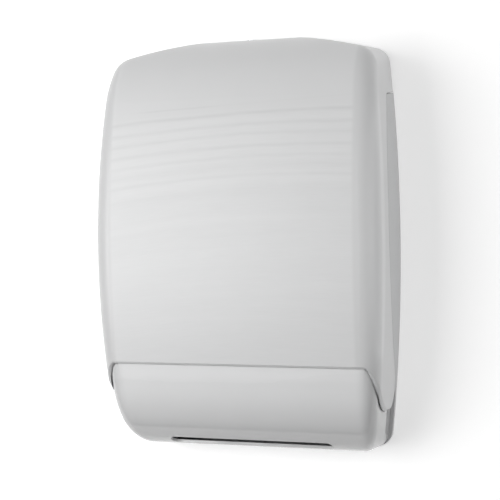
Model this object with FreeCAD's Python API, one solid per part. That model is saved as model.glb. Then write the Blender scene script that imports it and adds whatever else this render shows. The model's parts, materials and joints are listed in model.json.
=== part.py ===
import FreeCAD, Part
import functools
import math
import os

# Wall-mounted dispenser for folded paper towels, in millimetres.
# X runs to the right, Y runs back into the wall, Z runs up.
# The wall is the plane Y = 0, and the origin is the centre of the four wall-screw holes.

# Outer form, seen from the front
half_width = 140.0          # at the widest height, which is the origin's height
top_z = 208.5               # crown of the top's bow, at the depth top_slope_y
bottom_z = -202.0
side_radius = 2000.0        # bow of the two sides
top_radius = 445.0          # bow of the top
top_corner_back = 18.0      # corner radii open out from the wall to the front
top_corner_front = 24.0
bottom_corner_back = 17.0
bottom_corner_front = 50.0
back_share = 0.6            # part of an inset that the corner radii at the wall give up

# Outer form, seen from the side
depth = 128.0
front_radius = 750.0        # bow of the front
front_bulge_z = 15.0        # height at which the front stands out most
top_blend = 80.0            # roll from the front over to the top
bottom_blend = 86.0         # roll from the front under to the bottom
front_edge_radius = 18.0    # rounding all round the front
top_slope = 0.14            # the top rises towards the wall
top_slope_y = -55.0
top_flat_drop = 1.3         # of the flat along the middle of the top, below the crown
top_steepness = math.hypot(1, top_slope)    # length along the top over its depth

# Walls
door_wall = 2.6
housing_wall = 2.6
lower_wall = 2.6
sliding_gap = 0.9           # between the door's inside and the lower front's outside
nesting_gap = 0.3           # between the lower front's inside and the housing's tub
parting_gap = 0.6           # visible line between the door and the housing

# Lower front
lower_inset = door_wall + sliding_gap
lower_corner_back = 14.0
lower_corner_front = 60.0
seam_z = -110.4             # straight seam across the front
lip_overlap = 12.0          # how far the lower front reaches up behind the door
lip_flange = 5.0
slot_half_width = 83.0
slot_lip_z = -189.0
slot_end_radius = 5.0
slot_back_y = -56.0
slot_back_radius = 8.0

# Door hinge
pivot_y = -33.0
pivot_z = -139.0
ear_radius = 20.0
seam_arc_radius = 96.3      # curve of the seam on the two sides
pin_radius = 3.0
pin_clearance = 0.05
ear_boss_radius = 7.0
ear_boss_length = 6.0
ear_skin_left = 1.6         # skin left outside the blind hole for the pin
ear_room = 0.8              # round the ear, in the wing's foot and in the lower front
ear_side_gap = 0.3          # between the turning ear and the recess in the lower front
boss_clearance = 0.6
pin_end_gap = 0.4
pin_chamfer = 0.5
lug_radius = 11.0
lug_thickness = 4.0
lug_gap = 0.3
lug_sink = 0.9              # a lug ends this far inside the outer face of the tub

# Side wings of the housing
wing_front_top_y = -47.0
wing_front_top_z = 147.0
wing_back_top_z = 154.0     # higher than in front, so that the door swings past it
wing_middle_y = -72.0
wing_middle_z = 15.0
wing_foot_angle = 39.0      # where the wing's bow meets the ear, above the horizontal, in degrees
wing_tail_z = -152.0
wing_corner = 5.0
rim_depth = 9.0             # rim that lies against the wall below the wings
door_back_gap = 4.0         # door's rear edge to the wall
plate_inset = 3.6           # upper plate of the housing inside the door
plate_rim_depth = 10.0
tub_depth = 48.0            # at the sides, where it carries the hinge
tub_floor_depth = 14.0
tub_side_low_z = -178.0

# Wall holes and the back wall's stiffening
wall_hole_spacing_x = 150.0
wall_hole_spacing_z = 160.0
wall_hole_radius = 2.75
wall_pad_radius = 9.0
wall_pad_height = 3.4
wall_sink_radius = 5.5
wall_sink_depth = 2.0
rib_thickness = 1.8
rib_height = 3.4
upright_rib_x = 38.0
upright_rib_low_z = -165.0
upright_rib_high_z = 160.0
cross_rib_half_length = 100.0
cross_rib_levels = (-118.0, 0.0, 128.0)

# Ledge for the strike, and the door's rubber bumpers
ledge_half_width = 70.0
ledge_top_z = 180.8
ledge_reach = 30.0
gusset_depth = 22.0
gusset_drop = 16.0
bumper_x = 85.0
bumper_z = 192.0
bumper_radius = 4.0
bumper_height = 3.5
bumper_stem_radius = 2.0
bumper_stem_length = 1.8
bumper_rounding = 1.0
bumper_gap = 0.3
stop_tab_width = 12.0
stop_tab_drop = 19.0
stop_tab_room = 1.0

# Lock in the top of the door
lock_y = -40.0
lock_pad_radius = 15.0
lock_pad_bottom_z = 201.3
lock_flange_radius = 11.0
lock_flange_gap = 0.3
lock_seat_z = 205.2
lock_flange_thickness = 1.8
lock_flange_rounding = 0.6
barrel_radius = 9.0
barrel_hole_gap = 0.1
barrel_bottom_z = 186.0
plug_radius = 6.0
plug_clearance = 0.05
plug_head_radius = 7.4
plug_head_clearance = 0.1
plug_head_thickness = 1.8
plug_head_sink = 0.2
plug_end_play = 0.1
plug_square = 7.0
key_slot_length = 8.0
key_slot_width = 1.4
key_slot_depth = 6.0
lock_washer_radius = 12.6
lock_washer_thickness = 0.8
lock_nut_across = 22.0
lock_nut_thickness = 4.0
cam_thickness = 2.2
cam_length = 24.0
cam_width = 10.0
cam_screw_head_radius = 4.0
cam_screw_head_height = 2.4
cam_screw_shank_radius = 1.9
cam_screw_head_rounding = 1.0
cam_screw_length = 8.0

# Strike bracket on the ledge
strike_thickness = 1.6
strike_arm_near_x = -13.0
strike_arm_far_x = -27.0
strike_foot_near_x = -8.0
strike_foot_far_x = -34.0
strike_foot_back_y = -3.6
strike_foot_front_y = -15.5
strike_catch_gap = 1.5      # between the turned cam and the strike's upright end
strike_catch_top_z = 188.0
strike_screw_x = (-13.5, -28.5)
strike_screw_y = -9.5
strike_screw_reach = 3.0    # below the ledge
strike_bend_share = 0.9     # outer bend radius over the thickness

# Guides that keep the stack of towels upright
guide_thickness = 2.0
guide_inner_x = 122.5
guide_flange_width = 14.0
guide_reach = 46.0
guide_flare_out = 4.0
guide_flare_reach = 7.0
guide_low_z = -92.0
guide_high_z = 118.0
guide_corner = 14.0
guide_pad_radius = 6.0
guide_pad_height = 3.0
guide_screw_x = 115.5
guide_screw_levels = (-62.0, 88.0)
guide_slot_length = 44.0
guide_slot_width = 14.0
guide_slot_levels = (-48.0, 13.0, 74.0)
guide_slot_y = -28.0

# Insert that narrows the opening for multifold towels
insert_half_width = 106.0
insert_front_y = -79.0
insert_back_y = -16.0
insert_thickness = 2.0
insert_corner = 20.0
insert_bottom_z = -180.0
insert_skirt_drop = 5.0
throat_half_width = 66.0
throat_front_y = -71.8
throat_back_y = -54.8
throat_lip = 1.6
throat_flat = 0.01          # straight left between the two roundings of each end
insert_boss_radius = 5.0
insert_screw_x = 96.0
insert_screw_levels_y = (-56.0, -26.0)
insert_hole_bottom_z = -193.0

# Small screws that form their own thread
screw_shank_radius = 1.5
screw_head_radius = 3.5
screw_head_height = 2.0
screw_head_bevel_share = 0.4
screw_hole_gap = 0.2        # round a shank in a hole that it passes through
screw_end_gap = 0.4         # below the end of a shank
screw_recess_length = 4.0
screw_recess_width = 0.9
screw_recess_depth = 1.2
plate_left_under_screw = 1.0
front_screw_y = -30.0
front_screw_levels_z = (-108.0, -158.0)
front_screw_head_radius = 6.5
front_boss_radius = 4.0
front_boss_gap = 0.3
front_boss_end_gap = 0.1

span = 400.0                # longer than the whole object, for cutting shapes
overcut = 5.0
along_axis = 0.99           # least direction cosine of an edge that runs along an axis
near = 0.01                 # distance within which an edge counts as found
corner_reach = 0.5          # the same for a corner that was worked out step by step
loop_edge_limit = 0.97      # an edge this nearly along Y is no part of the front's loop
least_crease = 4.0          # in degrees: faces that meet at less are smooth already
x_axis = FreeCAD.Vector(1, 0, 0)
y_axis = FreeCAD.Vector(0, 1, 0)
z_axis = FreeCAD.Vector(0, 0, 1)


def vec(x, y, z):
    return FreeCAD.Vector(x, y, z)


def line(a, b):
    return Part.makeLine(a, b)


def arc(a, b, c):
    return Part.Arc(a, b, c).toShape()


def box(x0, x1, y0, y1, z0, z1):
    return Part.makeBox(x1 - x0, y1 - y0, z1 - z0, vec(x0, y0, z0))


def rod_x(radius, x0, x1, y, z):
    return Part.makeCylinder(radius, x1 - x0, vec(x0, y, z), x_axis)


def rod_y(radius, y0, y1, x, z):
    return Part.makeCylinder(radius, y1 - y0, vec(x, y0, z), y_axis)


def rod_z(radius, z0, z1, x, y):
    return Part.makeCylinder(radius, z1 - z0, vec(x, y, z0), z_axis)


def fuse_all(shapes):
    return shapes[0].multiFuse(shapes[1:]).removeSplitter()


def mirrored(shape):
    return shape.mirror(vec(0, 0, 0), x_axis)


def side_x(z, inset=0.0):
    # half width of the form at a height
    bow = side_radius - inset
    return half_width - inset - bow + math.sqrt(bow ** 2 - z ** 2)


def top_height(x, y, inset=0.0):
    # height of the form's top beside the centre line, at a depth
    bow = top_radius - inset
    middle = top_z - top_radius * top_steepness + top_slope * (y - top_slope_y)
    return middle + math.sqrt(bow ** 2 - x ** 2) * top_steepness


def runs_along(edge, axis):
    # whether an edge is parallel to the axis
    return abs(edge.tangentAt(edge.FirstParameter).dot(axis)) > along_axis


def fillet_corner(shape, x, z, back_radius, front_radius_here):
    # rounds the edge along Y that passes near (x, z), with a radius that changes along it
    for edge in shape.Edges:
        middle = edge.CenterOfMass
        along = (edge.Vertexes[0].Point - edge.Vertexes[-1].Point).normalize()
        found = abs(middle.x - x) < corner_reach and abs(middle.z - z) < corner_reach
        if found and abs(along.y) > loop_edge_limit:
            start = edge.valueAt(edge.FirstParameter)
            end = edge.valueAt(edge.LastParameter)
            radii = (front_radius_here, back_radius) if start.y < end.y else (back_radius, front_radius_here)
            return shape.makeFillet(radii[0], radii[1], [edge])
    raise ValueError("no corner edge near x %g, z %g" % (x, z))


def front_outline(inset, low_z, bottom_corner):
    # the outline seen from the front, as a solid that runs along Y
    front = -depth - overcut
    corner_z = top_z
    for _ in range(60):
        corner_x = side_x(corner_z, inset)
        corner_z = top_height(corner_x, front / 2, inset)
    low = low_z + inset
    low_x = side_x(low, inset)
    high = top_z - top_slope * top_slope_y + overcut
    high_x = side_x(high, inset)
    middle = (low + high) / 2

    def xz(x, z):
        return vec(x, front, z)

    edges = [
        line(xz(-low_x, low), xz(low_x, low)),
        arc(xz(low_x, low), xz(side_x(middle, inset), middle), xz(high_x, high)),
        line(xz(high_x, high), xz(-high_x, high)),
        arc(xz(-high_x, high), xz(-side_x(middle, inset), middle), xz(-low_x, low)),
    ]
    solid = Part.Face(Part.Wire(edges)).extrude(vec(0, depth + overcut, 0))
    rise = vec(0, 1, top_slope)
    start = vec(0, top_slope_y, top_z - top_radius * top_steepness) - rise * span
    solid = solid.common(Part.makeCylinder(top_radius - inset, 2 * span * rise.Length, start, rise))
    for side in (1, -1):
        solid = fillet_corner(solid, side * corner_x, corner_z, top_corner_back - inset * back_share,
                              top_corner_front - inset)
        solid = fillet_corner(solid, side * low_x, low, bottom_corner[0] - inset * back_share,
                              bottom_corner[1] - inset)
    return solid


def side_outline(inset, low_z):
    # the outline seen from the side, as a solid that runs along X
    face_depth = depth - inset
    bow = front_radius - inset

    def front_y(z):
        return -(face_depth - bow + math.sqrt(bow ** 2 - (z - front_bulge_z) ** 2))

    low = low_z + inset
    back_top = top_z - inset * top_steepness - top_flat_drop - top_slope * top_slope_y
    front_top = back_top - top_slope * face_depth
    middle = (low + front_top) / 2
    left = -half_width - overcut
    edges = [
        line(vec(left, 0, low), vec(left, front_y(low), low)),
        arc(vec(left, front_y(low), low), vec(left, front_y(middle), middle),
            vec(left, front_y(front_top), front_top)),
        line(vec(left, front_y(front_top), front_top), vec(left, 0, back_top)),
        line(vec(left, 0, back_top), vec(left, 0, low)),
    ]
    solid = Part.Face(Part.Wire(edges)).extrude(vec(-2 * left, 0, 0))
    for radius, above in ((top_blend, True), (bottom_blend, False)):
        chosen = [edge for edge in solid.Edges
                  if runs_along(edge, x_axis)
                  and edge.CenterOfMass.y < -depth / 2
                  and (edge.CenterOfMass.z > middle) == above]
        solid = solid.makeFillet(radius - inset, chosen)
    return solid


def front_loop(solid):
    # the edges between the two outlines, all round the front
    chosen = []
    for edge in solid.Edges:
        half = (edge.FirstParameter + edge.LastParameter) / 2
        middle = edge.valueAt(half)
        if middle.y > -overcut or abs(edge.tangentAt(half).y) > loop_edge_limit:
            continue
        normals = []
        for face in solid.ancestorsOfType(edge, Part.Face):
            u, v = face.Surface.parameter(middle)
            normals.append(face.normalAt(u, v))
        if len(normals) == 2 and math.degrees(normals[0].getAngle(normals[1])) > least_crease:
            chosen.append(edge)
    return chosen


def crossed_form(inset, low_z, bottom_corner):
    return front_outline(inset, low_z, bottom_corner).common(side_outline(inset, low_z)).Solids[0]


def rounded_form(inset, low_z, bottom_corner):
    solid = crossed_form(inset, low_z, bottom_corner)
    return solid.makeFillet(front_edge_radius - inset, front_loop(solid))


@functools.lru_cache(maxsize=None)
def outer_form(inset):
    return rounded_form(inset, bottom_z, (bottom_corner_back, bottom_corner_front))


@functools.lru_cache(maxsize=None)
def outer_outline(inset):
    # without the rounding round the front, for what lies near the wall
    return crossed_form(inset, bottom_z, (bottom_corner_back, bottom_corner_front))


@functools.lru_cache(maxsize=None)
def lower_form(inset):
    # the rounder form of the lower front: its bottom stays at the object's bottom
    return rounded_form(lower_inset + inset, bottom_z - lower_inset, (lower_corner_back, lower_corner_front))


@functools.lru_cache(maxsize=None)
def lower_outline(inset):
    return front_outline(lower_inset + inset, bottom_z - lower_inset, (lower_corner_back, lower_corner_front))


def lower_crossed(inset):
    return crossed_form(lower_inset + inset, bottom_z - lower_inset, (lower_corner_back, lower_corner_front))


def prism_yz(edges):
    # a side view, drawn at X = -span, made into a solid across the whole width
    return Part.Face(Part.Wire(edges)).extrude(vec(2 * span, 0, 0))


def yz(y, z):
    return vec(-span, y, z)


def wing_prism(grow):
    # side view of the housing's wings and of the rim below them
    back = overcut
    top_rise = (wing_back_top_z - wing_front_top_z) / -wing_front_top_y

    def top_at(y):
        return wing_back_top_z + top_rise * y + grow * math.hypot(1, top_rise)

    def ear_side(angle):
        reach = ear_radius + ear_room - grow
        turn = math.radians(angle)
        return yz(pivot_y + reach * math.cos(turn), pivot_z + reach * math.sin(turn))

    front_top_y = wing_front_top_y - grow
    foot = ear_side(wing_foot_angle)
    tail = yz(-rim_depth - grow, wing_tail_z - grow)
    edges = [
        line(yz(back, top_at(back)), yz(front_top_y, top_at(front_top_y))),
        arc(yz(front_top_y, top_at(front_top_y)), yz(wing_middle_y - grow, wing_middle_z), foot),
        arc(foot, ear_side(wing_foot_angle / 2), ear_side(0)),
        line(ear_side(0), tail),
        line(tail, yz(-rim_depth - grow, -span)),
        line(yz(-rim_depth - grow, -span), yz(back, -span)),
        line(yz(back, -span), yz(back, top_at(back))),
    ]
    solid = prism_yz(edges)
    for edge in solid.Edges:
        middle = edge.CenterOfMass
        if abs(middle.y - front_top_y) < near and middle.z > 0 and abs(middle.x) < 1:
            solid = solid.makeFillet(wing_corner + grow, [edge])
            break
    return solid


def door_prism():
    # side view of the door: everything above the seam, with an ear round the pivot
    arc_center_z = pivot_z + seam_arc_radius - ear_radius
    upper = box(-span, span, -span, -door_back_gap, seam_z, span)
    lobe = rod_x(seam_arc_radius, -span, span, pivot_y, arc_center_z)
    lobe = lobe.common(box(-span, span, -span, pivot_y, -span, seam_z))
    behind_y = pivot_y + ear_radius * math.cos(math.radians(wing_foot_angle))
    behind = box(-span, span, pivot_y, behind_y, pivot_z, seam_z)
    ear = rod_x(ear_radius, -span, span, pivot_y, pivot_z)
    return upper.multiFuse([lobe, behind, ear]).cut(wing_prism(parting_gap))


def small_screw(place, axis, head_radius, length):
    # pan head with a crossed recess; the place is under the head and the axis points out of it
    along = FreeCAD.Rotation(z_axis, axis)
    head = Part.makeCylinder(head_radius, screw_head_height)
    rim = [edge for edge in head.Edges if edge.CenterOfMass.z > screw_head_height / 2 and edge.Closed]
    head = head.makeChamfer(screw_head_height * screw_head_bevel_share, rim)
    shank = Part.makeCylinder(screw_shank_radius, length, vec(0, 0, -length))
    body = head.fuse(shank)
    half = screw_recess_length / 2
    width = screw_recess_width / 2
    floor = screw_head_height - screw_recess_depth
    cross = box(-half, half, -width, width, floor, span).fuse(box(-width, width, -half, half, floor, span))
    body = body.cut(cross).removeSplitter()
    body.Placement = FreeCAD.Placement(place, along)
    return body


def stadium_y(half_length_z, radius, x0, x1, y, z):
    # upright slot cut along X
    low = rod_x(radius, x0, x1, y, z - half_length_z + radius)
    high = rod_x(radius, x0, x1, y, z + half_length_z - radius)
    return fuse_all([low, high, box(x0, x1, y - radius, y + radius,
                                    z - half_length_z + radius, z + half_length_z - radius)])


def make_door():
    shell = outer_form(0).cut(outer_form(door_wall).fuse(behind_wall()))
    door = shell.common(door_prism())
    # thick pad round the lock
    pad = rod_z(lock_pad_radius, lock_pad_bottom_z, span, 0, lock_y).common(outer_form(0))
    # tabs that meet the bumpers
    tab_front = -housing_wall - bumper_height - bumper_gap - door_wall
    tabs = []
    for side in (1, -1):
        x = side * bumper_x
        tab = box(x - stop_tab_width / 2, x + stop_tab_width / 2, tab_front, tab_front + door_wall,
                  top_height(bumper_x, tab_front) - stop_tab_drop, span)
        tabs.append(tab.common(outer_outline(door_wall / 2)))
    # blind bosses for the hinge pins
    bosses = []
    for side in (1, -1):
        outer = side_x(pivot_z)
        boss = rod_x(ear_boss_radius, outer - door_wall - ear_boss_length, outer, pivot_y, pivot_z)
        boss = boss.common(outer_form(0))
        bosses.append(boss if side == 1 else mirrored(boss))
    door = fuse_all([door, pad] + tabs + bosses)
    hole = rod_x(pin_radius + pin_clearance, 0, side_x(pivot_z) - ear_skin_left, pivot_y, pivot_z)
    door = door.cut(fuse_all([
        rod_z(barrel_radius + barrel_hole_gap, lock_pad_bottom_z - overcut, span, 0, lock_y),
        rod_z(lock_flange_radius + lock_flange_gap, lock_seat_z, span, 0, lock_y)]))
    return door.cut(hole).cut(mirrored(hole))


def behind_wall():
    # block behind the wall plane, so that a form that is cut out leaves the back open
    return box(-span, span, 0, overcut, -span, span)


def make_lower_front():
    top = seam_z + lip_overlap
    shell = lower_form(0).cut(lower_form(lower_wall))
    shell = shell.common(box(-span, span, -span, -rim_depth - nesting_gap, -span, top))
    flange = lower_form(lower_wall / 2).cut(lower_crossed(lower_wall + lip_flange))
    flange = flange.common(box(-span, span, -span, -tub_depth - nesting_gap, top - lower_wall, top))
    bosses = []
    for x in (insert_screw_x, -insert_screw_x):
        for y in insert_screw_levels_y:
            boss = rod_z(insert_boss_radius, bottom_z, insert_bottom_z, x, y)
            bosses.append(boss.common(lower_form(lower_wall / 2)))
    for z in front_screw_levels_z:
        boss = rod_x(front_boss_radius, front_screw_seat(z) + front_boss_end_gap,
                     side_x(z) - lower_inset - lower_wall / 2, front_screw_y, z)
        bosses += [boss, mirrored(boss)]
    body = fuse_all([shell, flange] + bosses)
    # opening in the lip and the floor
    opening = box(-slot_half_width, slot_half_width, -depth, slot_back_y, bottom_z - overcut, slot_lip_z)
    corners = [edge for edge in opening.Edges
               if runs_along(edge, z_axis) and abs(edge.CenterOfMass.y - slot_back_y) < near]
    opening = opening.makeFillet(slot_back_radius, corners)
    ends = [edge for edge in opening.Edges
            if runs_along(edge, y_axis) and abs(edge.CenterOfMass.z - slot_lip_z) < near]
    opening = opening.makeFillet(slot_end_radius, ends)
    cuts = [opening]
    # clearance for the door's pivot bosses, and a recess that the turning ear passes over
    bore = rod_x(ear_boss_radius + boss_clearance, 0, span, pivot_y, pivot_z)
    floor_x = side_x(pivot_z) - door_wall - ear_side_gap
    recess = Part.makeCylinder(ear_radius + ear_room, overcut, vec(floor_x, pivot_y, pivot_z),
                               vec(1, -pivot_z / side_radius, 0))
    cuts += [bore, mirrored(bore), recess, mirrored(recess)]
    # pilots for the screws
    for x in (insert_screw_x, -insert_screw_x):
        for y in insert_screw_levels_y:
            cuts.append(rod_z(screw_shank_radius, insert_hole_bottom_z, insert_bottom_z, x, y))
    for z in front_screw_levels_z:
        outer = side_x(z) - lower_inset
        hole = rod_x(screw_shank_radius, 0, outer - plate_left_under_screw, front_screw_y, z)
        cuts += [hole, mirrored(hole)]
    return body.cut(cuts)


def tub_inset():
    return lower_wall + nesting_gap


def front_screw_seat(z):
    # inner face of the tub, where the head of a screw for the lower front bears
    return side_x(z) - lower_inset - tub_inset() - housing_wall


def make_rear_housing():
    front = -housing_wall
    full = outer_form(0)
    wing_zone = wing_prism(0)
    parts = []
    # side wings, the outer skin of the rim below them, and the back wall up to the wings' top
    hollow = outer_form(housing_wall).common(box(-span, span, -span, front, -span, span))
    parts.append(full.cut(hollow).common(wing_zone))
    # back wall above that, inside the door
    plate = outer_outline(plate_inset)
    parts.append(plate.common(box(-span, span, front, 0, -span, span)))
    # rim round the upper plate
    rim = plate.cut(outer_outline(plate_inset + housing_wall))
    parts.append(rim.common(box(-span, span, -plate_rim_depth, 0, wing_middle_z, span)))
    # front skin of the lower rim, and the tub that the lower front fits round
    tub = lower_outline(tub_inset())
    tub_top = seam_z + lip_overlap
    rim_front = full.cut(tub).common(box(-span, span, -rim_depth, -rim_depth + housing_wall, -span, tub_top))
    parts.append(rim_front)
    tub_wall = tub.cut(lower_outline(tub_inset() + housing_wall))
    parts.append(tub_wall.common(box(-span, span, -tub_depth, front / 2, tub_side_low_z, tub_top)))
    parts.append(tub_wall.common(box(-span, span, -tub_floor_depth, front / 2, -span, tub_side_low_z)))
    # lugs for the hinge pins
    lug_outer = side_x(pivot_z) - door_wall - ear_boss_length - lug_gap
    lug = rod_x(lug_radius, lug_outer - lug_thickness, side_x(pivot_z) - lower_inset - tub_inset() - lug_sink,
                pivot_y, pivot_z)
    parts += [lug, mirrored(lug)]
    # pads round the wall holes
    for x in (-wall_hole_spacing_x / 2, wall_hole_spacing_x / 2):
        for z in (-wall_hole_spacing_z / 2, wall_hole_spacing_z / 2):
            parts.append(rod_y(wall_pad_radius, front - wall_pad_height, front / 2, x, z))
    # stiffening ribs on the back wall
    for x in (-upright_rib_x, upright_rib_x):
        parts.append(box(x - rib_thickness / 2, x + rib_thickness / 2, front - rib_height, front / 2,
                         upright_rib_low_z, upright_rib_high_z))
    for z in cross_rib_levels:
        parts.append(box(-cross_rib_half_length, cross_rib_half_length, front - rib_height, front / 2,
                         z - rib_thickness / 2, z + rib_thickness / 2))
    # pads for the guides
    for x in (-guide_screw_x, guide_screw_x):
        for z in guide_screw_levels:
            parts.append(rod_y(guide_pad_radius, front - guide_pad_height, front / 2, x, z))
    # ledge for the strike, with gussets
    ledge_low = ledge_top_z - housing_wall
    parts.append(box(-ledge_half_width, ledge_half_width, -ledge_reach, front / 2, ledge_low, ledge_top_z))
    for x in (-ledge_half_width + rib_thickness / 2, 0, ledge_half_width - rib_thickness / 2):
        inside = ledge_low + housing_wall / 2
        corner = [vec(x - rib_thickness / 2, front / 2, inside),
                  vec(x - rib_thickness / 2, front - gusset_depth, inside),
                  vec(x - rib_thickness / 2, front / 2, ledge_low - gusset_drop)]
        gusset = Part.Face(Part.makePolygon(corner + corner[:1])).extrude(vec(rib_thickness, 0, 0))
        parts.append(gusset)
    body = fuse_all(parts)
    cuts = []
    for x in (-wall_hole_spacing_x / 2, wall_hole_spacing_x / 2):
        for z in (-wall_hole_spacing_z / 2, wall_hole_spacing_z / 2):
            cuts.append(rod_y(wall_hole_radius, -span, overcut, x, z))
            cuts.append(rod_y(wall_sink_radius, front - wall_pad_height - overcut,
                              front - wall_pad_height + wall_sink_depth, x, z))
    for x in (-guide_screw_x, guide_screw_x):
        for z in guide_screw_levels:
            cuts.append(rod_y(screw_shank_radius, -span, -plate_left_under_screw, x, z))
    for x in (-bumper_x, bumper_x):
        cuts.append(rod_y(bumper_stem_radius, front - overcut, front + bumper_stem_length, x, bumper_z))
    for x in strike_screw_x:
        cuts.append(rod_z(screw_shank_radius, ledge_low - overcut, ledge_top_z + overcut, x, strike_screw_y))
    # notches that the door's stop tabs pass through
    half_notch = stop_tab_width / 2 + stop_tab_room
    for x in (-bumper_x, bumper_x):
        cuts.append(box(x - half_notch, x + half_notch, -plate_rim_depth - overcut, front,
                        bumper_z, span))
    # room for the door's bosses, then the bores for the pins
    lug_face = side_x(pivot_z) - door_wall - ear_boss_length - lug_gap
    room = rod_x(ear_boss_radius + boss_clearance, lug_face, span, pivot_y, pivot_z)
    bore = rod_x(pin_radius, 0, span, pivot_y, pivot_z)
    cuts += [room, mirrored(room), bore, mirrored(bore)]
    for z in front_screw_levels_z:
        hole = rod_x(front_boss_radius + front_boss_gap, 0, side_x(z) - lower_inset, front_screw_y, z)
        seat = rod_x(front_screw_head_radius + front_boss_gap, 0, front_screw_seat(z), front_screw_y, z)
        cuts += [hole, mirrored(hole), seat, mirrored(seat)]
    return body.cut(cuts)


def make_hinge_pin(side):
    inner = side_x(pivot_z) - door_wall - ear_boss_length - lug_gap - lug_thickness
    outer = side_x(pivot_z) - ear_skin_left - pin_end_gap
    pin = rod_x(pin_radius, inner, outer, pivot_y, pivot_z)
    ends = [edge for edge in pin.Edges if edge.Closed]
    pin = pin.makeChamfer(pin_chamfer, ends)
    return pin if side > 0 else mirrored(pin)


def make_guide(side):
    outer_x = guide_inner_x + guide_thickness
    foot = -housing_wall - guide_pad_height
    front = foot - guide_thickness
    reach = -guide_reach
    slant = math.atan2(guide_flare_out, guide_flare_reach)
    skew_x = guide_thickness * math.cos(slant)
    skew_y = guide_thickness * math.sin(slant)
    tip_x = outer_x + guide_flare_out
    tip_y = reach - guide_flare_reach
    flange_x = outer_x - guide_flange_width
    corners = [(flange_x, foot), (outer_x, foot), (outer_x, reach), (tip_x, tip_y),
               (tip_x - skew_x, tip_y - skew_y), (guide_inner_x, reach - skew_y / 2),
               (guide_inner_x, front), (flange_x, front)]
    points = [vec(x, y, guide_low_z) for x, y in corners]
    body = Part.Face(Part.makePolygon(points + points[:1])).extrude(vec(0, 0, guide_high_z - guide_low_z))
    for slot_z in guide_slot_levels:
        body = body.cut(stadium_y(guide_slot_length / 2, guide_slot_width / 2, guide_inner_x - overcut,
                                  outer_x + overcut, guide_slot_y, slot_z))
    # rounded front corners, seen from the side
    for z, inward in ((guide_high_z, -1), (guide_low_z, 1)):
        tip = tip_y - skew_y
        block = box(0, span, tip - overcut, tip + guide_corner, min(z, z + inward * guide_corner),
                    max(z, z + inward * guide_corner))
        block = block.cut(rod_x(guide_corner, 0, span, tip + guide_corner, z + inward * guide_corner))
        body = body.cut(block)
    for z in guide_screw_levels:
        body = body.cut(rod_y(screw_shank_radius + screw_hole_gap, -span, 0, guide_screw_x, z))
    return body if side > 0 else mirrored(body)


def make_guide_screws():
    place_y = -housing_wall - guide_pad_height - guide_thickness
    length = -place_y - plate_left_under_screw - screw_end_gap
    return Part.makeCompound([small_screw(vec(x, place_y, z), y_axis * -1, screw_head_radius, length)
                              for x in (-guide_screw_x, guide_screw_x) for z in guide_screw_levels])


def make_insert():
    # plate with a rounded throat whose lip turns down
    plate = box(-insert_half_width, insert_half_width, insert_front_y, insert_back_y,
                insert_bottom_z, insert_bottom_z + insert_thickness)
    upright = [edge for edge in plate.Edges if runs_along(edge, z_axis)]
    plate = plate.makeFillet(insert_corner, upright)
    throat_radius = (throat_back_y - throat_front_y - throat_flat) / 2

    def throat(grow, low, high):
        solid = box(-throat_half_width - grow, throat_half_width + grow, throat_front_y - grow,
                    throat_back_y + grow, low, high)
        edges = [edge for edge in solid.Edges if runs_along(edge, z_axis)]
        return solid.makeFillet(throat_radius + grow, edges)

    low = insert_bottom_z - insert_skirt_drop
    skirt = throat(throat_lip, low, insert_bottom_z + insert_thickness / 2)
    body = plate.fuse(skirt).cut(throat(0, low - overcut, insert_bottom_z + insert_thickness + overcut))
    for x in (-insert_screw_x, insert_screw_x):
        for y in insert_screw_levels_y:
            body = body.cut(rod_z(screw_shank_radius + screw_hole_gap, insert_bottom_z - overcut,
                                  insert_bottom_z + overcut, x, y))
    return body.removeSplitter()


def make_insert_screws():
    place_z = insert_bottom_z + insert_thickness
    length = place_z - insert_hole_bottom_z - screw_end_gap
    return Part.makeCompound([small_screw(vec(x, y, place_z), z_axis, screw_head_radius, length)
                              for x in (-insert_screw_x, insert_screw_x) for y in insert_screw_levels_y])


def make_front_screws():
    screws = []
    for z in front_screw_levels_z:
        head_x = front_screw_seat(z)
        length = lower_wall + nesting_gap + housing_wall - plate_left_under_screw - screw_end_gap
        screw = small_screw(vec(head_x, front_screw_y, z), x_axis * -1, front_screw_head_radius, length)
        screws += [screw, mirrored(screw)]
    return Part.makeCompound(screws)


def make_bumpers():
    front = -housing_wall
    pads = []
    for x in (-bumper_x, bumper_x):
        head = rod_y(bumper_radius, front - bumper_height, front, x, bumper_z)
        rim = [edge for edge in head.Edges if edge.Closed and edge.CenterOfMass.y < front - bumper_height / 2]
        head = head.makeFillet(bumper_rounding, rim)
        pads.append(head.fuse(rod_y(bumper_stem_radius, front, front + bumper_stem_length, x, bumper_z))
                    .removeSplitter())
    return Part.makeCompound(pads)


def make_lock_barrel():
    top = lock_seat_z + lock_flange_thickness
    flange = rod_z(lock_flange_radius, lock_seat_z, top, 0, lock_y)
    rim = [edge for edge in flange.Edges if edge.Closed and edge.CenterOfMass.z > top - near]
    flange = flange.makeFillet(lock_flange_rounding, rim)
    body = flange.fuse(rod_z(barrel_radius, barrel_bottom_z, lock_seat_z, 0, lock_y))
    bore = rod_z(plug_radius + plug_clearance, barrel_bottom_z - overcut, top + overcut, 0, lock_y)
    sink = rod_z(plug_head_radius + plug_head_clearance, plug_seat_z(), top + overcut, 0, lock_y)
    return body.cut(bore).cut(sink).removeSplitter()


def plug_seat_z():
    return lock_seat_z + lock_flange_thickness - plug_head_sink - plug_head_thickness


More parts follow.
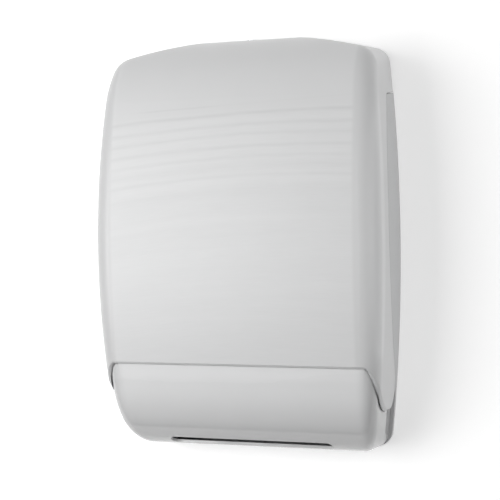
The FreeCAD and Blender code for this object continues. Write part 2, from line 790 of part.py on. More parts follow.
def make_lock_plug():
    seat = plug_seat_z()
    foot = barrel_bottom_z - plug_end_play
    body = rod_z(plug_radius, foot, seat, 0, lock_y)
    body = body.fuse(rod_z(plug_head_radius, seat, seat + plug_head_thickness, 0, lock_y))
    half = plug_square / 2
    body = body.fuse(box(-half, half, lock_y - half, lock_y + half, foot - cam_thickness, foot))
    top = seat + plug_head_thickness
    slot = box(-key_slot_width / 2, key_slot_width / 2, lock_y - key_slot_length / 2,
               lock_y + key_slot_length / 2, top - key_slot_depth, top + overcut)
    hole = rod_z(cam_screw_shank_radius, foot - cam_thickness - overcut,
                 foot - cam_thickness + cam_screw_length, 0, lock_y)
    return body.cut(slot).cut(hole).removeSplitter()


def make_lock_washer():
    high = lock_pad_bottom_z
    ring = rod_z(lock_washer_radius, high - lock_washer_thickness, high, 0, lock_y)
    return ring.cut(rod_z(barrel_radius + barrel_hole_gap, high - overcut, high + overcut, 0, lock_y))


def make_lock_nut():
    high = lock_pad_bottom_z - lock_washer_thickness
    corner = lock_nut_across / math.sqrt(3)
    points = []
    for step in range(6):
        angle = math.radians(60 * step)
        points.append(vec(corner * math.cos(angle), lock_y + corner * math.sin(angle),
                          high - lock_nut_thickness))
    nut = Part.Face(Part.makePolygon(points + points[:1])).extrude(vec(0, 0, lock_nut_thickness))
    return nut.cut(rod_z(barrel_radius, high - span, high + overcut, 0, lock_y))


def make_lock_cam():
    # flat tongue that points to the wall when unlocked
    high = barrel_bottom_z - plug_end_play
    low = high - cam_thickness
    half = cam_width / 2
    blade = box(-half, half, lock_y, lock_y + cam_length - half, low, high)
    tip = rod_z(half, low, high, 0, lock_y + cam_length - half)
    hub = rod_z(plug_head_radius, low, high, 0, lock_y)
    body = fuse_all([blade, tip, hub])
    side = plug_square / 2
    return body.cut(box(-side, side, lock_y - side, lock_y + side, low - overcut, high + overcut))


def make_cam_screw():
    high = barrel_bottom_z - plug_end_play - cam_thickness
    head = rod_z(cam_screw_head_radius, high - cam_screw_head_height, high, 0, lock_y)
    rim = [edge for edge in head.Edges if edge.Closed and edge.CenterOfMass.z < high - near]
    head = head.makeFillet(cam_screw_head_rounding, rim)
    shank = rod_z(cam_screw_shank_radius, high, high + cam_screw_length - screw_end_gap, 0, lock_y)
    half = screw_recess_length / 2
    width = screw_recess_width / 2
    low = high - cam_screw_head_height
    deep = low + screw_recess_depth
    cross = box(-half, half, lock_y - width, lock_y + width, low - overcut, deep)
    cross = cross.fuse(box(-width, width, lock_y - half, lock_y + half, low - overcut, deep))
    return head.fuse(shank).cut(cross).removeSplitter()


def make_strike():
    low = ledge_top_z
    high = low + strike_thickness
    front = lock_y - cam_width / 2 - strike_catch_gap
    foot = box(strike_foot_far_x, strike_foot_near_x, strike_foot_front_y, strike_foot_back_y, low, high)
    arm = box(strike_arm_far_x, strike_arm_near_x, front - strike_thickness, strike_foot_front_y, low, high)
    catch = box(strike_arm_far_x, strike_arm_near_x, front - strike_thickness, front, low, strike_catch_top_z)
    body = fuse_all([foot, arm, catch])
    bend = [edge for edge in body.Edges
            if runs_along(edge, x_axis)
            and abs(edge.CenterOfMass.y - (front - strike_thickness)) < near
            and abs(edge.CenterOfMass.z - low) < near]
    body = body.makeFillet(strike_thickness * strike_bend_share, bend)
    for x in strike_screw_x:
        body = body.cut(rod_z(screw_shank_radius + screw_hole_gap, low - overcut, high + overcut,
                              x, strike_screw_y))
    return body


def make_strike_screws():
    place = ledge_top_z + strike_thickness
    length = strike_thickness + housing_wall + strike_screw_reach
    return Part.makeCompound([small_screw(vec(x, strike_screw_y, place), z_axis, screw_head_radius, length)
                              for x in strike_screw_x])


nodes = {
    "rear_housing": make_rear_housing,
    "front_door": make_door,
    "lower_front": make_lower_front,
    "multifold_insert": make_insert,
    "insert_screws": make_insert_screws,
    "lower_front_screws": make_front_screws,
    "hinge_pin_right": lambda: make_hinge_pin(1),
    "hinge_pin_left": lambda: make_hinge_pin(-1),
    "towel_guide_right": lambda: make_guide(1),
    "towel_guide_left": lambda: make_guide(-1),
    "guide_screws": make_guide_screws,
    "door_bumpers": make_bumpers,
    "lock_barrel": make_lock_barrel,
    "lock_plug": make_lock_plug,
    "lock_washer": make_lock_washer,
    "lock_nut": make_lock_nut,
    "lock_cam": make_lock_cam,
    "cam_screw": make_cam_screw,
    "strike_bracket": make_strike,
    "strike_screws": make_strike_screws,
}

os.makedirs("parts", exist_ok=True)
for name, make in nodes.items():
    shape = make()
    print("%-20s solids %d valid %s volume %.0f" % (name, len(shape.Solids), shape.isValid(), shape.Volume))
    shape.exportStep("parts/%s.step" % name)
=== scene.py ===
import json
import math

import bmesh
import bpy
from mathutils import Matrix, Vector

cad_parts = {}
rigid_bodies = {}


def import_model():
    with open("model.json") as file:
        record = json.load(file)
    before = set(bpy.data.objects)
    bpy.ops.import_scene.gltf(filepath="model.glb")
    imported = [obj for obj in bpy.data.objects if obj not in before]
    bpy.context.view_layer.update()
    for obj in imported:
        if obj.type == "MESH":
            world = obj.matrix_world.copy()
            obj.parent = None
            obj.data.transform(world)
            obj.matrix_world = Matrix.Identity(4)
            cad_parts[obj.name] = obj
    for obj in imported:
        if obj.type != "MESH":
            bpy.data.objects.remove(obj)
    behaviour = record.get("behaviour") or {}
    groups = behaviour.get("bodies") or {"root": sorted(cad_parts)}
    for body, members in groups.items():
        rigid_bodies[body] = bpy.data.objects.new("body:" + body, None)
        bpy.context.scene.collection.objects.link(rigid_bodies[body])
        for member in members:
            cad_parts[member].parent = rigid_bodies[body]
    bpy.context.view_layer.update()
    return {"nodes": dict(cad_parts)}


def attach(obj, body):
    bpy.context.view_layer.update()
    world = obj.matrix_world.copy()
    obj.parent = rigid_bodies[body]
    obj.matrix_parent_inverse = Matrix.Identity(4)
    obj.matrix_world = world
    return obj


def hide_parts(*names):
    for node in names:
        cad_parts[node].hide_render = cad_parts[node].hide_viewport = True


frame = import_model()
nodes = frame["nodes"]
scene = bpy.context.scene
for startUpThing in list(scene.objects):
    if startUpThing.name in ("Cube", "Light", "Camera"):
        bpy.data.objects.remove(startUpThing)
print("frame loaded with", len(nodes), "nodes")


# small helpers for materials

def newMaterial(name):
    # a material with its shader and the object's own coordinates in metres
    material = bpy.data.materials.new(name)
    material.use_nodes = True
    tree = material.node_tree
    tree.nodes.clear()
    output = tree.nodes.new("ShaderNodeOutputMaterial")
    shader = tree.nodes.new("ShaderNodeBsdfPrincipled")
    place = tree.nodes.new("ShaderNodeTexCoord")
    tree.links.new(shader.outputs["BSDF"], output.inputs["Surface"])
    return material, tree, shader, place.outputs["Object"]


def feed(tree, value, socket):
    # a number goes onto the socket, an output is linked to it
    if isinstance(value, (int, float)):
        socket.default_value = value
    else:
        tree.links.new(value, socket)


def calc(tree, operation, first, second=0.0, clamp=False):
    node = tree.nodes.new("ShaderNodeMath")
    node.operation = operation
    node.use_clamp = clamp
    feed(tree, first, node.inputs[0])
    feed(tree, second, node.inputs[1])
    return node.outputs[0]


def total(tree, *terms):
    result = terms[0]
    for term in terms[1:]:
        result = calc(tree, "ADD", result, term)
    return result


def product(tree, *factors):
    result = factors[0]
    for factor in factors[1:]:
        result = calc(tree, "MULTIPLY", result, factor)
    return result


def ramp(tree, value, fromLow, fromHigh, toLow=0.0, toHigh=1.0):
    # smooth change from one value to another
    node = tree.nodes.new("ShaderNodeMapRange")
    node.interpolation_type = "SMOOTHSTEP"
    feed(tree, value, node.inputs["Value"])
    ends = {"From Min": fromLow, "From Max": fromHigh, "To Min": toLow, "To Max": toHigh}
    for name, number in ends.items():
        node.inputs[name].default_value = number
    return node.outputs["Result"]


def noise(tree, vector, scale, detail=2.0, roughness=0.5):
    node = tree.nodes.new("ShaderNodeTexNoise")
    tree.links.new(vector, node.inputs["Vector"])
    node.inputs["Scale"].default_value = scale
    node.inputs["Detail"].default_value = detail
    node.inputs["Roughness"].default_value = roughness
    return node.outputs["Fac"]


def centred(tree, pattern):
    # a noise pattern about zero instead of about a half
    return calc(tree, "SUBTRACT", pattern, 0.5)


def spread(tree, pattern, low=0.0, high=1.0):
    # nearly all of a noise pattern lies between 0.3 and 0.7
    return ramp(tree, pattern, 0.3, 0.7, low, high)


def stretched(tree, vector, scales):
    node = tree.nodes.new("ShaderNodeMapping")
    tree.links.new(vector, node.inputs["Vector"])
    node.inputs["Scale"].default_value = scales
    return node.outputs["Vector"]


def mixColours(tree, share, dark, light):
    node = tree.nodes.new("ShaderNodeMix")
    node.data_type = "RGBA"
    feed(tree, share, node.inputs[0])
    node.inputs[6].default_value = (*dark, 1)
    node.inputs[7].default_value = (*light, 1)
    return node.outputs[2]


def softEdges(tree, radius):
    # the moulding's edges are shaded as if they were rounded
    node = tree.nodes.new("ShaderNodeBevel")
    node.samples = 6
    feed(tree, radius, node.inputs["Radius"])
    return node.outputs["Normal"]


def raised(tree, height, distance, normal=None):
    # turns a height pattern into a shading normal, on top of another one if it is given
    node = tree.nodes.new("ShaderNodeBump")
    node.inputs["Distance"].default_value = distance
    tree.links.new(height, node.inputs["Height"])
    if normal is not None:
        tree.links.new(normal, node.inputs["Normal"])
    return node.outputs["Normal"]


def shade(colour, factor):
    return tuple(channel * factor for channel in colour)


def separated(tree, vector):
    node = tree.nodes.new("ShaderNodeSeparateXYZ")
    tree.links.new(vector, node.inputs[0])
    return node.outputs


def paintedShadeAndReflection(tree, place, colour, look):
    # painted shade and light: broad darker and lighter tones over the piece, and a painted reflection: a
    # faint lighter step along a line that rises to the right
    sides = separated(tree, place)
    level = 1.0
    # each tone paints shade or light: darker or lighter by place on the piece
    for axis, start, end, change in look["paintedShadeAndLight"]:
        side = calc(tree, "ABSOLUTE", sides["X"]) if axis == "X" else sides[axis]
        level = calc(tree, "ADD", level, ramp(tree, side, start, end, 0.0, change))
    # the step is a painted reflection of the floor's edge, lighter above a wavy line
    paintedReflection = look["paintedReflection"]
    ripple = product(tree, centred(tree, noise(tree, place, paintedReflection["rippleScale"], 3.0)), paintedReflection["ripple"])
    middle, rightEnd = paintedReflection["height"], paintedReflection["height"] + paintedReflection["rise"]
    edge = total(tree, ramp(tree, sides["X"], 0.0, paintedReflection["riseOver"], middle, rightEnd), ripple)
    over = calc(tree, "SUBTRACT", sides["Z"], edge)
    above = ramp(tree, over, -paintedReflection["blur"], paintedReflection["blur"], 0.0, paintedReflection["change"])
    front = ramp(tree, sides["Y"], *paintedReflection["front"])
    scaled = tree.nodes.new("ShaderNodeVectorMath")
    scaled.operation = "SCALE"
    tree.links.new(colour, scaled.inputs[0])
    tree.links.new(total(tree, level, product(tree, above, front)), scaled.inputs["Scale"])
    return scaled.outputs[0]


def grainRoughness(tree, grain, look):
    middle, reach = look["roughness"], look["roughnessSpread"]
    return spread(tree, grain, middle - reach, middle + reach)


def mouldedPlastic(name, look):
    # satin or glossy moulding with a faint mottle and a fine grain
    material, tree, shader, place = newMaterial(name)
    mottle = spread(tree, noise(tree, place, look["mottleScale"], 3.0))
    colour = mixColours(tree, mottle, shade(look["colour"], 1 - look["mottle"]),
                        shade(look["colour"], 1 + look["mottle"]))
    # painted shade, painted light and a painted reflection, where the look asks for them
    if "paintedShadeAndLight" in look:
        colour = paintedShadeAndReflection(tree, place, colour, look)
    tree.links.new(colour, shader.inputs["Base Color"])
    grain = noise(tree, place, look["grainScale"], 2.0)
    tree.links.new(grainRoughness(tree, grain, look), shader.inputs["Roughness"])
    shader.inputs["IOR"].default_value = 1.5
    normal = softEdges(tree, look["edge"]) if "edge" in look else None
    if "waveDepth" in look:
        wave = noise(tree, place, look["waveScale"], 1.0)
        normal = raised(tree, wave, look["waveDepth"], normal)
    tree.links.new(raised(tree, grain, look["grainDepth"], normal), shader.inputs["Normal"])
    return material


def drawnMetal(name, look):
    # plated or ground metal with fine lines along one direction and a faint cloud
    material, tree, shader, place = newMaterial(name)
    lines = noise(tree, stretched(tree, place, look["lineScales"]), 1.0, 3.0, 0.6)
    cloud = noise(tree, place, look["cloudScale"], 3.0)
    pattern = total(tree, product(tree, lines, 0.6), product(tree, cloud, 0.4))
    dark = shade(look["colour"], 1 - look["spread"])
    colour = mixColours(tree, spread(tree, pattern), dark, look["colour"])
    tree.links.new(colour, shader.inputs["Base Color"])
    shader.inputs["Metallic"].default_value = 1.0
    rough = spread(tree, pattern, look["roughness"] - 0.06, look["roughness"] + 0.08)
    tree.links.new(rough, shader.inputs["Roughness"])
    tree.links.new(raised(tree, lines, look["lineDepth"]), shader.inputs["Normal"])
    return material


def blackRubber(name, look):
    material, tree, shader, place = newMaterial(name)
    grain = noise(tree, place, look["grainScale"], 3.0)
    colour = mixColours(tree, spread(tree, grain), look["colour"], shade(look["colour"], 1.6))
    tree.links.new(colour, shader.inputs["Base Color"])
    shader.inputs["Roughness"].default_value = look["roughness"]
    tree.links.new(raised(tree, grain, look["grainDepth"]), shader.inputs["Normal"])
    return material


# finishes

# four numbers in a row are a start, an end and the values at both, except in topLine
doorLook = {
    "colour": (0.70, 0.703, 0.706),
    "reach": 0.125,                              # largest change of brightness that the colours hold
    "mottle": 0.006, "mottleScale": 30.0,
    "roughness": 0.33, "roughnessSpread": 0.03,
    "fieldRoughness": 0.06,                      # added on the textured field
    "edge": (0.124, 0.132, 0.0006, 0.0020),      # rounding of the edges, by distance from the middle
    "grainScale": 1400.0, "grainDepth": 0.00002, "grainShare": 0.4,
    "fieldLeft": -0.1205, "fieldRight": 0.1155, "fieldTop": 0.1255,   # the textured field on the front
    "fieldBlur": 0.0022, "topBlur": 0.001,
    "front": (-0.095, -0.110),                   # depths between which the front takes over
    "marginLeft": 0.095, "marginRight": 0.080,   # how much darker the smooth margins are
    "marginEnd": (0.137, 0.124),                 # where the right margin fades out
    "paintedHighlight": 0.15,                               # painted highlight: how much lighter the turn to the right side is
    "flankAcross": (0.127, 0.136), "flankFront": (-0.089, -0.101),
    "flankTop": (0.165, 0.10), "flankFoot": (-0.115, -0.09),
    "streak": 0.012, "streakScale": 130.0,       # brightness of the broad streaks
    "hair": 0.012, "hairScale": 900.0,           # brightness of the fine lines
    "alongScale": 0.06,                          # a streak's height as a share of its length
    "roughTilt": 0.042, "roughBow": 0.35,        # first estimate of a line's tilt and bow
    "tilt": (0.0, 0.130, 0.047, 0.037),          # and how both change with the height
    "bow": (0.040, 0.105, 0.44, 0.35), "flatter": (0.104, 0.127, 0.0, 0.14),
    "drift": 0.0022, "driftScales": (400, 1, 60),   # how far the lines wander up and down
    "strength": (0.25, 0.65, 0.55, 1.25), "strengthScales": (300, 1, 90),   # how it changes along them
    "linesTop": (0.006, 0.002),                  # above the field, where the last line ends
    # the drawn lines: height at the middle, change of brightness, half width
    "lines": ((0.019, -0.016, 0.0030), (0.033, -0.014, 0.0030), (0.044, -0.012, 0.0030),
              (0.053, -0.024, 0.0030), (0.0662, -0.031, 0.0028), (0.075, -0.020, 0.0026),
              (0.0837, -0.028, 0.0028), (0.0937, -0.036, 0.0028), (0.105, -0.028, 0.0028),
              (0.1142, -0.036, 0.0027), (0.1248, -0.060, 0.0026)),
    # the bands between them: height, change of brightness
    "between": ((0.0, 0.0), (0.026, 0.004), (0.060, 0.010), (0.089, 0.018), (0.1095, 0.024),
                (0.119, 0.026), (0.1295, 0.004), (0.138, 0.0)),
    "lineSpan": 0.14, "lineShare": 4.0,          # height of the colour ramp, and its value for a change of 1
    "faintLine": 0.025,                          # a fainter line has no stops of its own at its sides
    "topLine": (0.1338, 0.044, -0.045, 0.0016),  # height, rise per metre, change, half width
    "topLineStart": (-0.106, -0.075), "topLineFade": (-0.034, 0.0, 1.0, 0.25),
}


def drawnLines(tree, level, look):
    # one colour ramp over the height holds the lines and the lighter bands between them
    node = tree.nodes.new("ShaderNodeValToRGB")
    bands = look["between"]
    stops = [(height, change) for height, change in bands]
    for height, change, half in look["lines"]:
        stops = [stop for stop in stops if abs(stop[0] - height) > half]
    for height, change, half in look["lines"]:
        below = max([stop for stop in bands if stop[0] <= height])
        above = min([stop for stop in bands if stop[0] >= height])
        ground = below[1] + (above[1] - below[1]) * (height - below[0]) / max(above[0] - below[0], 0.0001)
        stops.append((height, change))
        if abs(change) > look["faintLine"]:
            stops += [(height - half, ground), (height + half, ground)]
    stops.sort()
    elements = node.color_ramp.elements
    elements[0].position = 0.0
    elements[1].position = 1.0
    for height, change in stops[1:-1]:
        elements.new(height / look["lineSpan"])
    for element, (height, change) in zip(elements, stops):
        value = 0.5 + change * look["lineShare"]
        element.color = (value, value, value, 1)
    tree.links.new(product(tree, level, 1 / look["lineSpan"]), node.inputs["Fac"])
    return product(tree, centred(tree, node.outputs["Color"]), 1 / look["lineShare"])


def bowedLevel(tree, x, z, look):
    # height at the middle of the bowed line that runs through a place
    square = product(tree, x, x)
    guess = total(tree, calc(tree, "SUBTRACT", z, product(tree, x, look["roughTilt"])),
                  product(tree, square, look["roughBow"]))
    bow = calc(tree, "SUBTRACT", ramp(tree, guess, *look["bow"]), ramp(tree, guess, *look["flatter"]))
    tilt = ramp(tree, guess, *look["tilt"])
    return total(tree, calc(tree, "SUBTRACT", z, product(tree, tilt, x)), product(tree, bow, square))


def topLine(tree, x, z, look):
    # a single straight line above the field, which starts near its left end and fades to the right
    height, rise, change, half = look["topLine"]
    away = calc(tree, "ABSOLUTE", calc(tree, "SUBTRACT", z, total(tree, product(tree, x, rise), height)))
    return product(tree, ramp(tree, away, 0.0, half, change, 0.0), ramp(tree, x, *look["topLineFade"]),
                   ramp(tree, x, *look["topLineStart"]))


def texturedDoor(name, look):
    # the moulding's front carries bowed lines that rise to the right, strongest near the top
    material, tree, shader, place = newMaterial(name)
    x, y, z = separated(tree, place)
    level = bowedLevel(tree, x, z, look)
    joined = tree.nodes.new("ShaderNodeCombineXYZ")
    tree.links.new(product(tree, x, look["alongScale"]), joined.inputs["X"])
    tree.links.new(level, joined.inputs["Z"])
    along = joined.outputs[0]
    drift = noise(tree, stretched(tree, along, look["driftScales"]), 1.0, 1.0)
    strength = noise(tree, stretched(tree, along, look["strengthScales"]), 1.0, 1.0)
    broad = noise(tree, along, look["streakScale"], 2.0)
    fine = noise(tree, along, look["hairScale"], 2.0)
    # where the field lies
    blur, top = look["fieldBlur"], look["fieldTop"]
    left = ramp(tree, x, look["fieldLeft"] + blur, look["fieldLeft"] - blur)
    right = ramp(tree, x, look["fieldRight"] - blur, look["fieldRight"] + blur)
    between = calc(tree, "SUBTRACT", calc(tree, "SUBTRACT", 1.0, left), right)
    front = product(tree, between, ramp(tree, y, *look["front"]))
    field = product(tree, front, ramp(tree, level, top + look["topBlur"], top - look["topBlur"]))
    wide = product(tree, front, ramp(tree, level, *[top + more for more in look["linesTop"]]))
    # what changes the brightness
    moved = total(tree, level, product(tree, centred(tree, drift), look["drift"]))
    lines = product(tree, drawnLines(tree, moved, look), ramp(tree, strength, *look["strength"]), wide)
    single = product(tree, topLine(tree, x, z, look), front)
    streaks = product(tree, centred(tree, broad), field, look["streak"] * 4)
    hairs = product(tree, centred(tree, fine), field)
    mottle = product(tree, centred(tree, noise(tree, place, look["mottleScale"], 3.0)), look["mottle"] * 4)
    margins = total(tree, product(tree, left, look["marginLeft"]),
                    product(tree, right, look["marginRight"], ramp(tree, x, *look["marginEnd"])))
    # painted highlight on the turn to the right side, where the light catches the rounding
    paintedHighlight = product(tree, ramp(tree, x, *look["flankAcross"], 0.0, look["paintedHighlight"]),
                    ramp(tree, y, *look["flankFront"]), ramp(tree, z, *look["flankTop"]),
                    ramp(tree, z, *look["flankFoot"]))
    change = total(tree, streaks, product(tree, hairs, look["hair"] * 4), mottle, lines, single, paintedHighlight)
    change = calc(tree, "SUBTRACT", change, margins)
    share = calc(tree, "ADD", product(tree, change, 0.5 / look["reach"]), 0.5, clamp=True)
    colour = mixColours(tree, share, shade(look["colour"], 1 - look["reach"]),
                        shade(look["colour"], 1 + look["reach"]))
    tree.links.new(colour, shader.inputs["Base Color"])
    grain = noise(tree, place, look["grainScale"], 2.0)
    rough = total(tree, grainRoughness(tree, grain, look), product(tree, field, look["fieldRoughness"]))
    tree.links.new(rough, shader.inputs["Roughness"])
    height = total(tree, product(tree, grain, look["grainShare"]), hairs)
    edge = ramp(tree, calc(tree, "ABSOLUTE", x), *look["edge"])
    tree.links.new(raised(tree, height, look["grainDepth"], softEdges(tree, edge)), shader.inputs["Normal"])
    return material


finishes = {
    "rear_housing": mouldedPlastic("housingPlastic", {
        "colour": (0.585, 0.589, 0.593), "mottle": 0.01, "mottleScale": 40.0, "roughness": 0.42,
        "roughnessSpread": 0.05, "grainScale": 1100.0, "grainDepth": 0.00003, "edge": 0.0015}),
    "front_door": texturedDoor("doorPlastic", doorLook),
    "lower_front": mouldedPlastic("lowerPlastic", {
        "colour": (0.762, 0.765, 0.768), "mottle": 0.006, "mottleScale": 30.0, "roughness": 0.045,
        "roughnessSpread": 0.005, "grainScale": 260.0, "grainDepth": 0.000003, "edge": 0.0006,
        "waveScale": 35.0, "waveDepth": 0.00012,
        # painted shade and light, broad changes of tone: axis, start, end, change; darker at the sides and
        # towards the bottom, lighter higher up
        "paintedShadeAndLight": (("X", 0.112, 0.132, -0.24), ("Z", -0.166, -0.188, -0.13), ("Z", -0.160, -0.140, 0.018)),
        # the painted reflection, a lighter step: its height from the left to the middle, the rise to the
        # right, the change above it
        "paintedReflection": {"height": -0.1285, "rise": 0.0125, "riseOver": 0.12, "blur": 0.0007, "change": 0.024,
                 "ripple": 0.007, "rippleScale": 38.0, "front": (-0.085, -0.100)}}),
    "multifold_insert": mouldedPlastic("insertPlastic", {
        "colour": (0.30, 0.303, 0.306), "mottle": 0.02, "mottleScale": 60.0, "roughness": 0.45,
        "roughnessSpread": 0.05, "grainScale": 1100.0, "grainDepth": 0.00003}),
    "towel_guide_right": mouldedPlastic("guidePlastic", {
        "colour": (0.45, 0.454, 0.458), "mottle": 0.015, "mottleScale": 60.0, "roughness": 0.42,
        "roughnessSpread": 0.05, "grainScale": 1100.0, "grainDepth": 0.00003}),
    "guide_screws": drawnMetal("screwSteel", {
        "colour": (0.68, 0.68, 0.70), "spread": 0.18, "lineScales": (900, 900, 900), "cloudScale": 300.0,
        "roughness": 0.30, "lineDepth": 0.00001}),
    "hinge_pin_right": drawnMetal("pinSteel", {
        "colour": (0.66, 0.66, 0.68), "spread": 0.15, "lineScales": (3000, 120, 120), "cloudScale": 200.0,
        "roughness": 0.24, "lineDepth": 0.00001}),
    "strike_bracket": drawnMetal("bracketSteel", {
        "colour": (0.62, 0.62, 0.64), "spread": 0.2, "lineScales": (200, 1500, 1500), "cloudScale": 150.0,
        "roughness": 0.36, "lineDepth": 0.00001}),
    "lock_barrel": drawnMetal("lockMetal", {
        "colour": (0.75, 0.75, 0.77), "spread": 0.12, "lineScales": (1200, 1200, 200), "cloudScale": 250.0,
        "roughness": 0.20, "lineDepth": 0.000006}),
    "door_bumpers": blackRubber("bumperRubber", {
        "colour": (0.02, 0.02, 0.021), "roughness": 0.7, "grainScale": 1500.0, "grainDepth": 0.00004}),
}
sameFinish = {
    "towel_guide_left": "towel_guide_right", "hinge_pin_left": "hinge_pin_right",
    "insert_screws": "guide_screws", "lower_front_screws": "guide_screws", "strike_screws": "guide_screws",
    "cam_screw": "guide_screws", "lock_nut": "guide_screws", "lock_washer": "guide_screws",
    "lock_plug": "lock_barrel", "lock_cam": "strike_bracket",
}
for name, node in nodes.items():
    node.data.materials.clear()
    node.data.materials.append(finishes[sameFinish.get(name, name)])
print("finishes on", len(nodes), "nodes")


# the door, with the end of its wall cut square along the seam

doorShape = {
    "thickness": 0.0028,                       # of the door's wall
    "seamHeight": -0.1104,                     # straight part of the seam
    "curveCentre": (-0.033, -0.0627),          # depth and height of the seam's curve on the sides
    "curveRadius": 0.0963,
    "flare": 0.0036,                           # how far the ears' edges slope out inside
    "frontOf": -0.055,                         # only the seam in front of this is touched
    "middleDepth": -0.06,                      # of the door, which tells inner faces from outer ones
    "steepest": 0.4,                           # upward share of a wall face's normal
    "near": 0.0001,                            # distance within which a corner lies on the curve
    "weld": 0.000001,
    "sameNormal": 0.995,                       # a face that turned further than this gets a new normal
}


def seamAt(depth):
    # height of the seam on the outer face where that face has the given depth
    centreDepth, centreHeight = doorShape["curveCentre"]
    across = depth - centreDepth
    if abs(across) >= doorShape["curveRadius"]:
        return doorShape["seamHeight"]
    curve = centreHeight - math.sqrt(doorShape["curveRadius"] ** 2 - across ** 2)
    return min(doorShape["seamHeight"], curve)


def seamSlide(vert):
    # how an inner corner of the seam moves along its wall, or nothing for any other corner
    x, y, z = vert.co
    toCentre = Vector((0, doorShape["curveCentre"][0] - y, doorShape["curveCentre"][1] - z))
    onCurve = abs(toCentre.length - doorShape["curveRadius"]) <= doorShape["near"]
    if not onCurve or z > doorShape["seamHeight"] or y > doorShape["frontOf"]:
        return None
    inward = Vector((0, 0, 0))
    for face in vert.link_faces:
        facesInward = face.normal.x * x + face.normal.y * (y - doorShape["middleDepth"]) < 0
        if facesInward and abs(face.normal.z) < doorShape["steepest"]:
            inward += face.normal
    if inward.length == 0:
        return None
    inward.normalize()
    plan = Vector((inward.x, inward.y)).normalized()
    rise = seamAt(y - plan.y * doorShape["thickness"]) - z
    slide = (Vector((0, 0, 1)) - inward * inward.z) * (rise / (1 - inward.z ** 2))
    back = toCentre.normalized()
    slide -= (back - inward * inward.dot(back)) * doorShape["flare"] * plan.x ** 2
    return slide


def makeDoor():
    source = nodes["front_door"].data
    made = bmesh.new()
    made.from_mesh(source)
    kept = made.loops.layers.float_vector.new("kept")
    for face in made.faces:
        for loop in face.loops:
            loop[kept] = source.corner_normals[loop.index].vector
    bmesh.ops.remove_doubles(made, verts=made.verts, dist=doorShape["weld"])
    slides = {vert: seamSlide(vert) for vert in made.verts}
    moved = [vert for vert in made.verts if slides[vert] is not None]
    for vert in moved:
        vert.co += slides[vert]
    made.normal_update()
    for vert in moved:
        for face in vert.link_faces:
            if abs(face.normal.dot(face.loops[0][kept])) < doorShape["sameNormal"]:
                for loop in face.loops:
                    loop[kept] = face.normal
    for face in made.faces:
        face.smooth = True
    mesh = bpy.data.meshes.new("door_shell")
    made.to_mesh(mesh)
    made.free()
    mesh.normals_split_custom_set([tuple(entry.vector) for entry in mesh.attributes["kept"].data])
    mesh.attributes.remove(mesh.attributes["kept"])
    mesh.materials.append(finishes["front_door"])
    door = bpy.data.objects.new("door_shell", mesh)
    scene.collection.objects.link(door)
    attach(door, "door")
    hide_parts("front_door")
    print("door made,", len(moved), "seam corners squared")


makeDoor()


# wall, floor, light and camera

wallSet = {
    "gap": 0.0006, "half": 3.0,                # distance behind the object, half the width
    "holeHalf": 0.120, "holeLow": -0.170, "holeHigh": 0.185,
    "colour": (0.92, 0.92, 0.92),
    "lift": 0.38,                              # glow that a camera sees
    "mirrored": 1.0, "bounced": 0.5,           # shares of the glow that mirrors and dull surfaces get
}
floorSet = {
    "height": -0.75, "half": 3.0, "depth": 1.245,
    "colour": (0.16, 0.16, 0.16), "lift": 0.75, "mirrored": 0.05, "bounced": 0.0,
}
bounceHeights = (-0.45, -0.05)   # the wall's share for dull surfaces grows between these


def backdropMaterial(name, look):
    # pale paper with a glow for the camera, and with shares of it for mirrors and for dull surfaces
    material, tree, shader, place = newMaterial(name)
    shader.inputs["Base Color"].default_value = (*look["colour"], 1)
    shader.inputs["Roughness"].default_value = 0.9
    shader.inputs["Specular IOR Level"].default_value = 0.0
    rays = tree.nodes.new("ShaderNodeLightPath").outputs
    grown = ramp(tree, separated(tree, place)["Z"], *bounceHeights, 0.0, look["bounced"])
    bounce = product(tree, grown, rays["Is Diffuse Ray"])
    mirror = product(tree, rays["Is Glossy Ray"], look["mirrored"])
    seen = total(tree, rays["Is Camera Ray"], mirror, bounce)
    seen = calc(tree, "ADD", seen, rays["Is Transmission Ray"], clamp=True)
    shader.inputs["Emission Color"].default_value = (1, 1, 1, 1)
    tree.links.new(product(tree, seen, look["lift"]), shader.inputs["Emission Strength"])
    return material, tree, shader


def placed(name, made):
    # a stage piece from its finished bmesh
    mesh = bpy.data.meshes.new(name)
    made.to_mesh(mesh)
    made.free()
    piece = bpy.data.objects.new(name, mesh)
    scene.collection.objects.link(piece)
    return piece


def makeWall():
    # a wall with an opening behind the object, so that the object's back is lit when seen from behind
    made = bmesh.new()
    xs = (-wallSet["half"], -wallSet["holeHalf"], wallSet["holeHalf"], wallSet["half"])
    zs = (floorSet["height"], wallSet["holeLow"], wallSet["holeHigh"], wallSet["half"])
    corners = [[made.verts.new((x, wallSet["gap"], z)) for z in zs] for x in xs]
    for i in range(3):
        for k in range(3):
            if (i, k) != (1, 1):
                made.faces.new((corners[i][k], corners[i + 1][k], corners[i + 1][k + 1], corners[i][k + 1]))
    wall = placed("wall", made)
    material, tree, shader = backdropMaterial("wallPaper", wallSet)
    # from behind, the wall is clear
    clear = tree.nodes.new("ShaderNodeBsdfTransparent")
    choice = tree.nodes.new("ShaderNodeMixShader")
    side = tree.nodes.new("ShaderNodeNewGeometry")
    tree.links.new(side.outputs["Backfacing"], choice.inputs[0])
    tree.links.new(shader.outputs["BSDF"], choice.inputs[1])
    tree.links.new(clear.outputs["BSDF"], choice.inputs[2])
    tree.links.new(choice.outputs[0], tree.nodes["Material Output"].inputs["Surface"])
    wall.data.materials.append(material)


def makeFloor():
    made = bmesh.new()
    bmesh.ops.create_grid(made, x_segments=1, y_segments=1, size=1.0)
    bmesh.ops.scale(made, verts=made.verts, vec=(floorSet["half"], floorSet["depth"], 1))
    bmesh.ops.translate(made, verts=made.verts, vec=(0, 0, floorSet["height"]))
    floor = placed("floor", made)
    floor.data.materials.append(backdropMaterial("floorPaper", floorSet)[0])


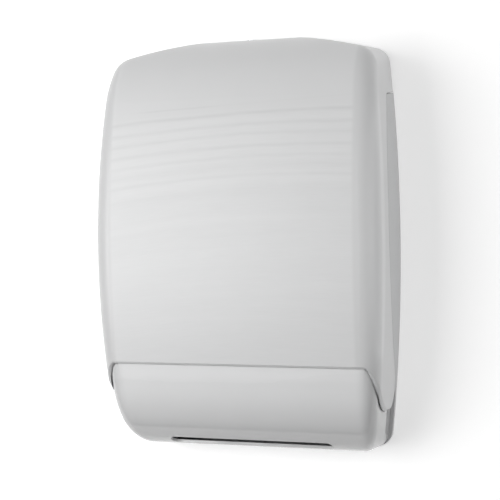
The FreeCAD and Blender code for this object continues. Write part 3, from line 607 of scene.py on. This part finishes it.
lightSet = {
    "front": 0.60,                             # soft light from all round, as dull surfaces get it
    "above": 0.22, "aboveRise": (0.10, 0.80),  # rises between which the light from above takes over
    "below": 0.02, "belowRise": (-0.45, 0.12),
    "right": 1.2,                              # added from the right, a little from above
    "rightAim": (0.97, 0.22), "rightEnds": (0.30, 0.80),
    "left": 0.40, "leftEnds": (-0.95, -0.45),  # share of the light that comes from straight left
    "keyAngle": 31.0,                          # to the left of straight ahead, in degrees
    "keyLift": 1.0,                            # upwards, in degrees
    "keyAim": (0, -0.06, 0),
    "keyDistance": 1.25, "keySize": 0.9, "keyPower": 10.5,
}


def makeWorld():
    world = bpy.data.worlds.new("studio")
    scene.world = world
    world.use_nodes = True
    tree = world.node_tree
    tree.nodes.clear()
    output = tree.nodes.new("ShaderNodeOutputWorld")
    background = tree.nodes.new("ShaderNodeBackground")
    rays = tree.nodes.new("ShaderNodeLightPath").outputs
    seen = total(tree, rays["Is Camera Ray"], rays["Is Glossy Ray"])
    seen = calc(tree, "ADD", seen, rays["Is Transmission Ray"], clamp=True)
    direction = tree.nodes.new("ShaderNodeTexCoord").outputs["Generated"]
    across, along, rise = separated(tree, direction)
    front = lightSet["front"]
    level = calc(tree, "MINIMUM", ramp(tree, rise, *lightSet["aboveRise"], front, lightSet["above"]),
                 ramp(tree, rise, *lightSet["belowRise"], lightSet["below"], front))
    aimAcross, aimRise = lightSet["rightAim"]
    slanting = total(tree, product(tree, across, aimAcross), product(tree, rise, aimRise))
    fromRight = ramp(tree, slanting, *lightSet["rightEnds"], 1.0, 1.0 + lightSet["right"])
    fromLeft = ramp(tree, across, *lightSet["leftEnds"], lightSet["left"], 1.0)
    unseen = product(tree, calc(tree, "SUBTRACT", 1.0, seen), product(tree, level, fromRight, fromLeft))
    background.inputs["Color"].default_value = (1, 1, 1, 1)
    tree.links.new(total(tree, seen, unseen), background.inputs["Strength"])
    tree.links.new(background.outputs[0], output.inputs["Surface"])


def makeKey():
    lamp = bpy.data.lights.new("key", "AREA")
    lamp.shape = "SQUARE"
    lamp.size = lightSet["keySize"]
    lamp.energy = lightSet["keyPower"]
    key = bpy.data.objects.new("key", lamp)
    scene.collection.objects.link(key)
    turn, lift = math.radians(lightSet["keyAngle"]), math.radians(lightSet["keyLift"])
    toLamp = Vector((-math.sin(turn) * math.cos(lift), -math.cos(turn) * math.cos(lift), math.sin(lift)))
    key.location = Vector(lightSet["keyAim"]) + toLamp * lightSet["keyDistance"]
    key.rotation_mode = "QUATERNION"
    key.rotation_quaternion = (-toLamp).to_track_quat("-Z", "Y")


cameraSet = {
    "place": (0.3068, -1.1059, 0.00193),
    "turn": 0.28797,        # to the left of straight back, in radians
    "roll": -0.008245,
    "lens": 79.24, "sensor": 36.0,
    "shift": (0.00485, -0.0101),
}


def makeCamera():
    data = bpy.data.cameras.new("camera")
    data.lens = cameraSet["lens"]
    data.sensor_width = cameraSet["sensor"]
    data.shift_x, data.shift_y = cameraSet["shift"]
    camera = bpy.data.objects.new("camera", data)
    scene.collection.objects.link(camera)
    turn, roll = cameraSet["turn"], cameraSet["roll"]
    right = Vector((math.cos(turn), math.sin(turn), 0))
    ahead = Vector((-math.sin(turn), math.cos(turn), 0))
    up = Vector((0, 0, 1))
    axisX = right * math.cos(roll) + up * math.sin(roll)
    axisY = up * math.cos(roll) - right * math.sin(roll)
    matrix = Matrix((axisX, axisY, -ahead)).transposed().to_4x4()
    matrix.translation = Vector(cameraSet["place"])
    camera.matrix_world = matrix
    scene.camera = camera


makeWall()
makeFloor()
makeWorld()
makeKey()
makeCamera()
scene.view_settings.view_transform = "Standard"
print("stage, light and camera are set")
